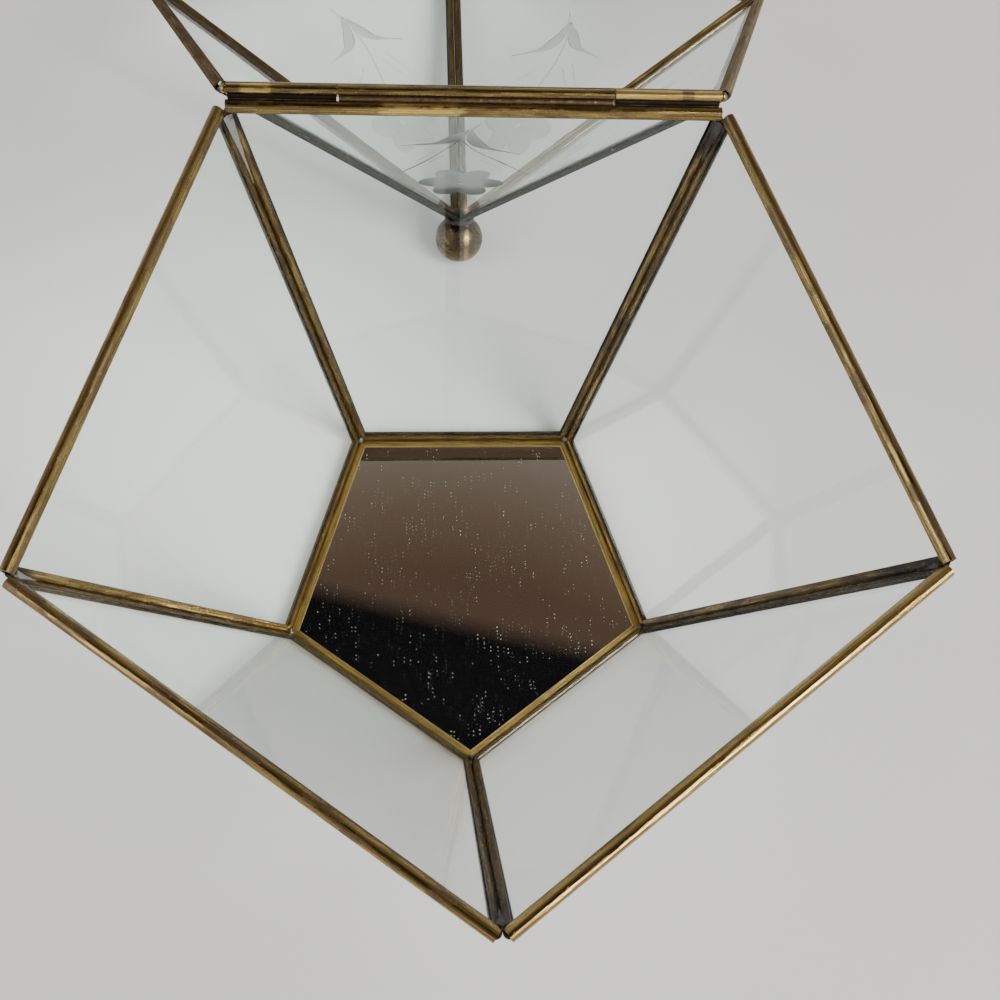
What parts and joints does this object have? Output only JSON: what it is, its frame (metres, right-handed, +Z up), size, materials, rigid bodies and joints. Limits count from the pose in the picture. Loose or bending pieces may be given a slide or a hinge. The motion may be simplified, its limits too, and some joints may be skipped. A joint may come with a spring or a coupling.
{
  "type": "glass casket box",
  "caption": "Flared pentagonal keepsake box of clear panes in brass channel, with a mirror floor and a wheel-cut pyramid lid that swings over on a hinge onto its ball finial.",
  "frame": {"origin": "on the surface that the box stands on, under the middle of the open box's length and width", "axes": "+X to the right along the hinge, +Y from the tray to the lid laid open, +Z up"},
  "size_m": [0.167, 0.2897, 0.098],
  "materials": {
    "brass": "aged, rubbed bright on its ridges",
    "glass": "clear, a little dusty",
    "mirror": "silvered glass, dusty",
    "solder": "dull, lumpy"
  },
  "bodies": {
    "tray": {"side_glass_back": "glass", "side_glass_right": "glass", "side_glass_front_right": "glass", "side_glass_front_left": "glass", "side_glass_left": "glass", "rim_channel_back": "brass", "rim_channel_right": "brass", "rim_channel_front_right": "brass", "rim_channel_front_left": "brass", "rim_channel_left": "brass", "foot_channel_back": "brass", "foot_channel_right": "brass", "foot_channel_front_right": "brass", "foot_channel_front_left": "brass", "foot_channel_left": "brass", "rib_channel_back_left": "brass", "rib_channel_back_right": "brass", "rib_channel_right_left": "brass", "rib_channel_right_right": "brass", "rib_channel_front_right_left": "brass", "rib_channel_front_right_right": "brass", "rib_channel_front_left_left": "brass", "rib_channel_front_left_right": "brass", "rib_channel_left_left": "brass", "rib_channel_left_right": "brass", "base_mirror": "mirror", "base_channel_back": "brass", "base_channel_right": "brass", "base_channel_front_right": "brass", "base_channel_front_left": "brass", "base_channel_left": "brass", "tray_solder": "solder", "hinge_knuckle_tray": "brass", "hinge_pin": "brass", "hinge_solder_tray": "solder"},
    "lid": {"lid_glass_back": "glass", "lid_glass_right": "glass", "lid_glass_front_right": "glass", "lid_glass_front_left": "glass", "lid_glass_left": "glass", "lid_edge_channel_back": "brass", "lid_edge_channel_right": "brass", "lid_edge_channel_front_right": "brass", "lid_edge_channel_front_left": "brass", "lid_edge_channel_left": "brass", "lid_rib_channel_back_left": "brass", "lid_rib_channel_back_right": "brass", "lid_rib_channel_right_left": "brass", "lid_rib_channel_right_right": "brass", "lid_rib_channel_front_right_left": "brass", "lid_rib_channel_front_right_right": "brass", "lid_rib_channel_front_left_left": "brass", "lid_rib_channel_front_left_right": "brass", "lid_rib_channel_left_left": "brass", "lid_rib_channel_left_right": "brass", "lid_solder": "solder", "finial_ball": "brass", "hinge_knuckle_lid_left": "brass", "hinge_knuckle_lid_right": "brass", "hinge_solder_lid": "solder"}
  },
  "joints": [
    {"name": "lid_hinge", "type": "hinge", "parent": "tray", "child": "lid", "pos_m": [0, 0.01522, 0.097], "axis": [1, 0, 0], "range_deg": [0, 215.98]}
  ]
}
